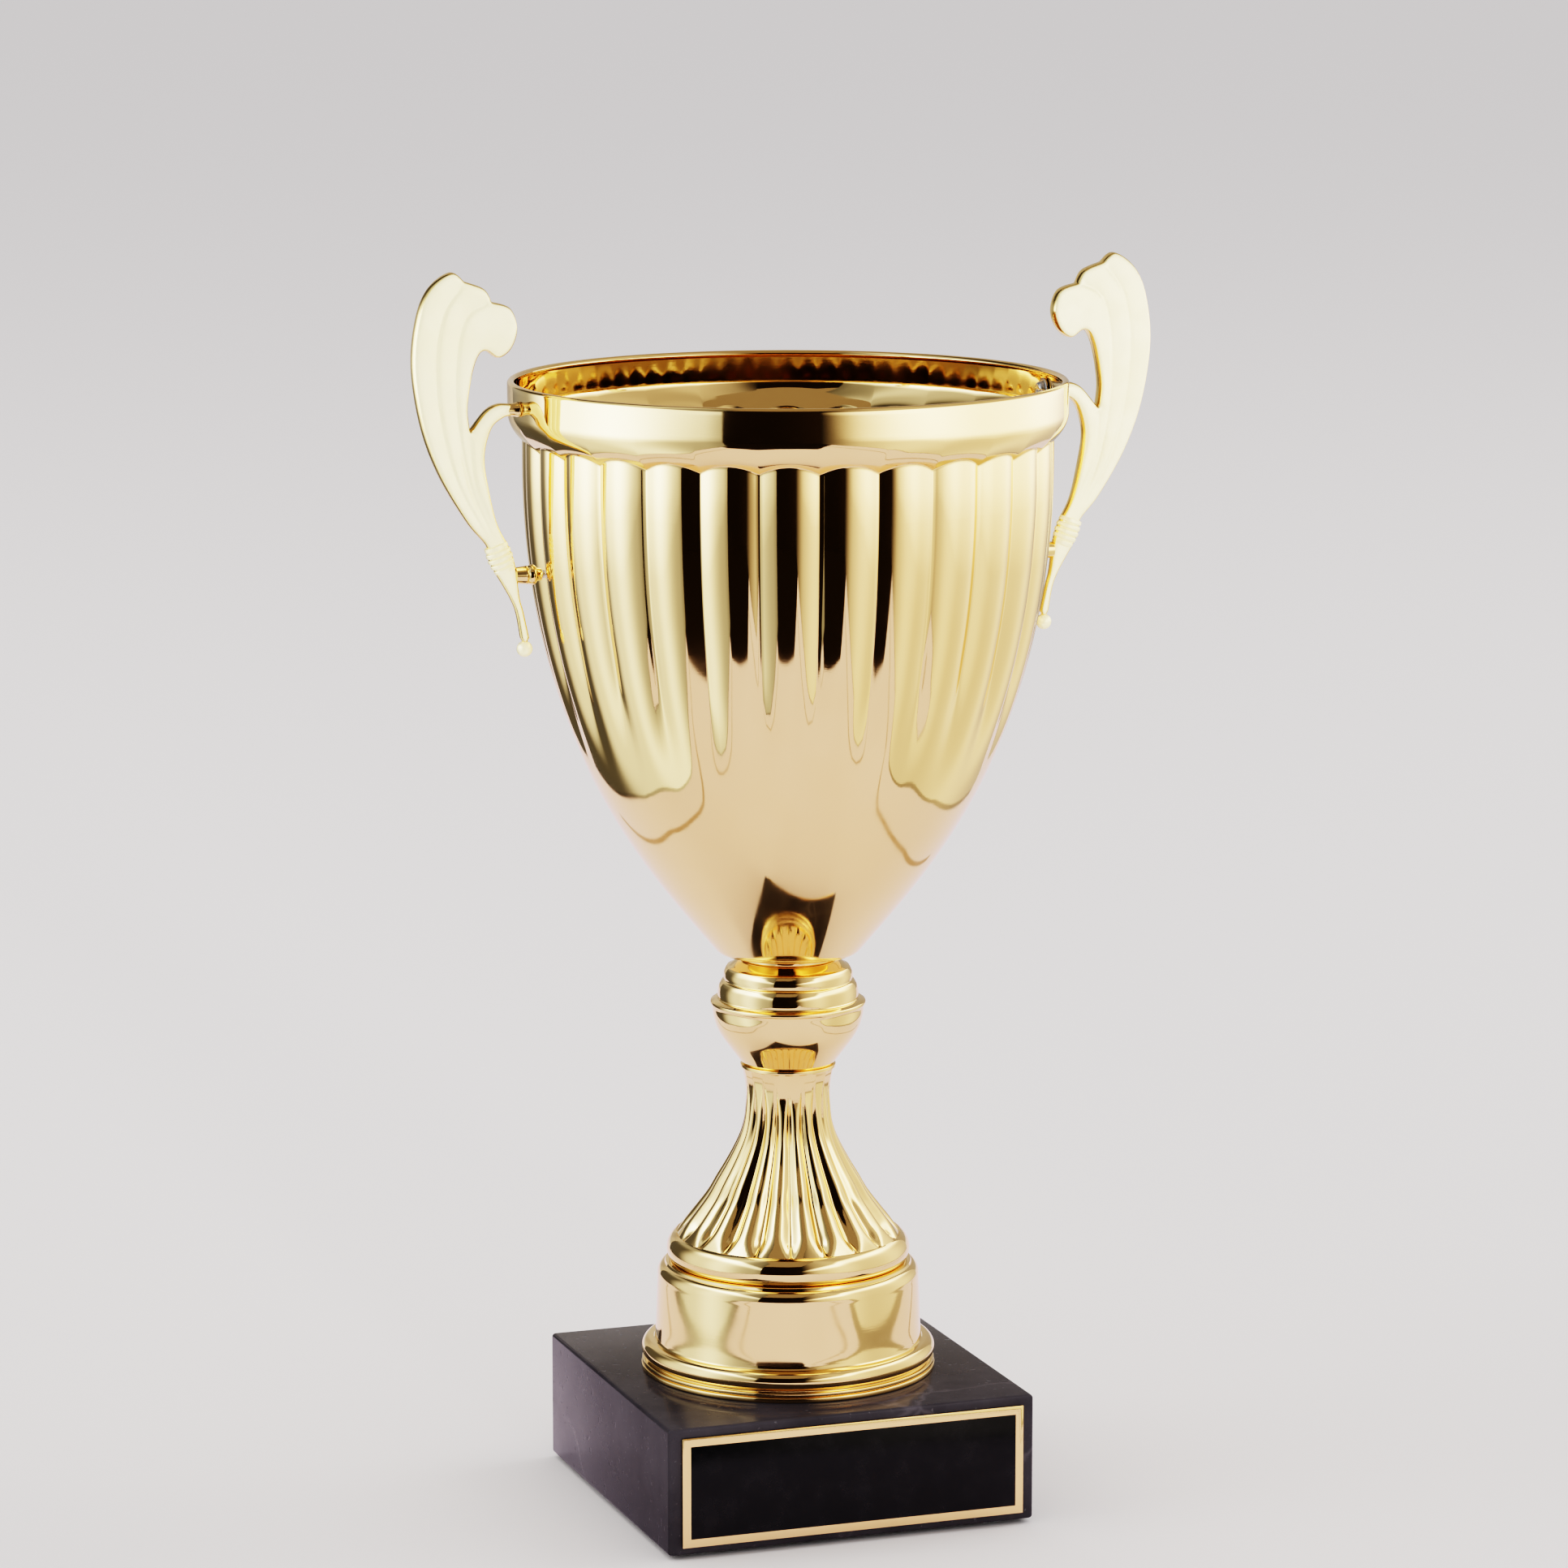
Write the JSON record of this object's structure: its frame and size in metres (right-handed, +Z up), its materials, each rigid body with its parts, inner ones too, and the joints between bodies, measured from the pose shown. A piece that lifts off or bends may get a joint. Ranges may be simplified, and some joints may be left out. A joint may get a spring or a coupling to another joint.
{
  "type": "cup trophy",
  "caption": "Gilt cup trophy: ribbed bowl with cast plume handles on a knobbed, ribbed stem, bolted through a square dark marble block with a blank name plate.",
  "frame": {"origin": "on the surface the trophy stands on, under the middle of the whole part, on the cup's axis", "axes": "+Z up the cup's axis, the handles along X, the name plate facing -Y"},
  "size_m": [0.1808, 0.13, 0.2933],
  "materials": {
    "gilt": "bright gilt plating, mirror polish",
    "satin_gilt": "pale gilt plating, satin on the cast faces",
    "marble": "dark marble, satin polish with eased edges",
    "felt": "black felt",
    "lacquer": "black gloss lacquer",
    "tape": "white foam adhesive tape",
    "zinc": "bright zinc plating on steel"
  },
  "bodies": {
    "root": {"marble_base": "marble", "felt_pad_1": "felt", "felt_pad_2": "felt", "felt_pad_3": "felt", "felt_pad_4": "felt", "plate_tape": "tape", "name_plate": "gilt", "plate_panel": "lacquer", "foot_drum": "gilt", "column": "gilt", "knob_lower": "gilt", "knob_upper": "gilt", "neck_collar": "gilt", "bowl": "gilt", "handle_right": "satin_gilt", "handle_left": "satin_gilt", "screw_upper_right": "zinc", "screw_lower_right": "zinc", "screw_upper_left": "zinc", "screw_lower_left": "zinc", "washer_upper_right": "zinc", "washer_lower_right": "zinc", "washer_upper_left": "zinc", "washer_lower_left": "zinc", "tie_rod": "zinc", "rod_washer_top": "zinc", "rod_nut_top": "zinc", "rod_washer_bottom": "zinc", "rod_nut_bottom": "zinc"}
  },
  "joints": []
}
